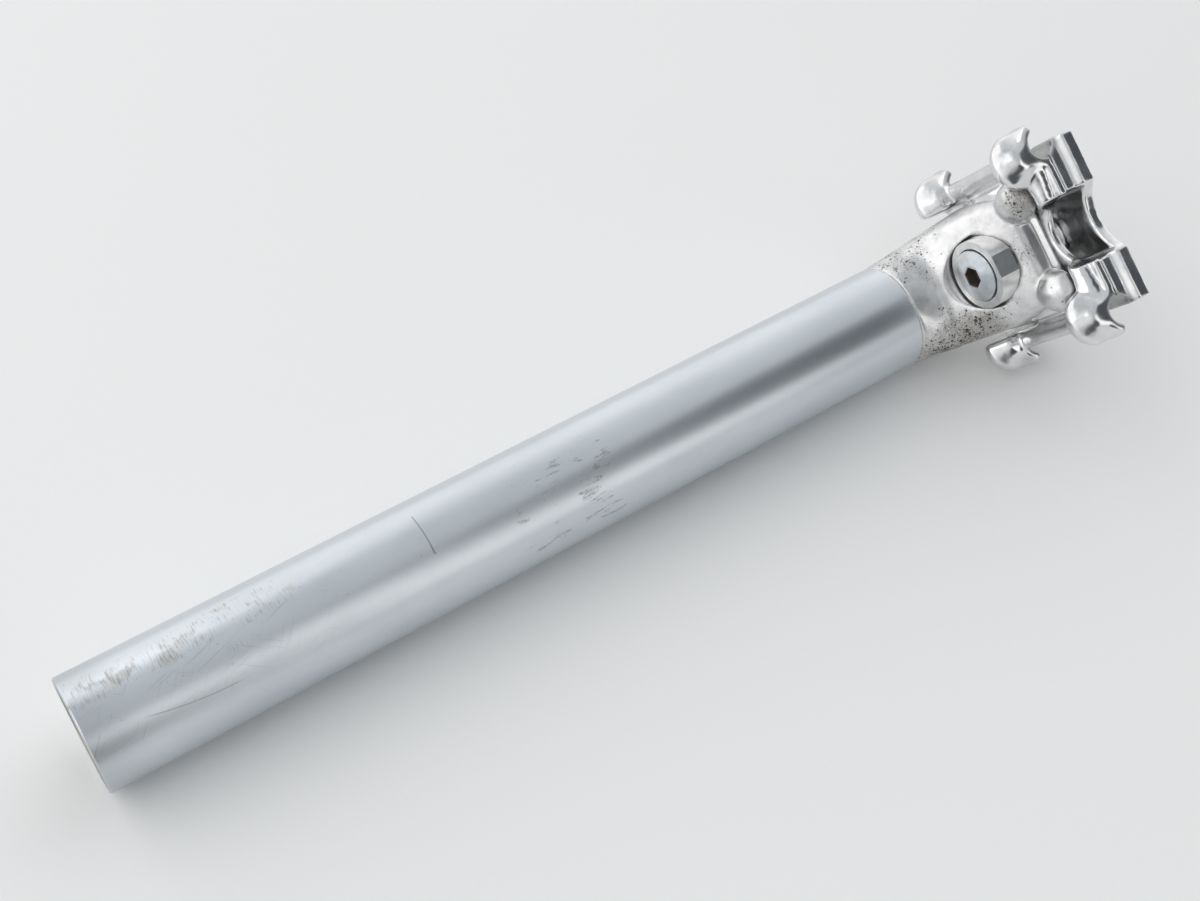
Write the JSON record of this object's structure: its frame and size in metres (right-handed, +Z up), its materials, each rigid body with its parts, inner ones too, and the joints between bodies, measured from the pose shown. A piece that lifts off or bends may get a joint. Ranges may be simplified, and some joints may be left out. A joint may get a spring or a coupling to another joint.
{
  "type": "bicycle seatpost",
  "caption": "Straight tubular bicycle seatpost with a forged setback head and a bolted clamp that tilts and grips the rails of a saddle.",
  "frame": {"origin": "centre of the bottom of the part as it lies at rest on a floor", "axes": "+X along the shaft, from its open end to its head; +Z up from the floor the part lies on"},
  "size_m": [0.2608, 0.0702, 0.0675],
  "materials": {
    "anodised_shaft": "satin anodised, scratched and stained",
    "forged_head": "polished forging, pitted",
    "forged_clamp": "polished forging, worn",
    "turned_collar": "satin turned",
    "plated_bolt": "zinc plated"
  },
  "bodies": {
    "post": {"shaft_tube": "anodised_shaft", "post_head": "forged_head"},
    "clamp": {"lower_cradle": "forged_clamp", "upper_clamp": "forged_clamp", "bolt_collar": "turned_collar", "clamp_bolt": "plated_bolt"}
  },
  "joints": [
    {"name": "clamp_tilt", "type": "hinge", "parent": "post", "child": "clamp", "pos_m": [0.12695, 0, 0.03375], "axis": [0, 0.8224, 0.5689], "range_deg": [-1, 9]}
  ]
}
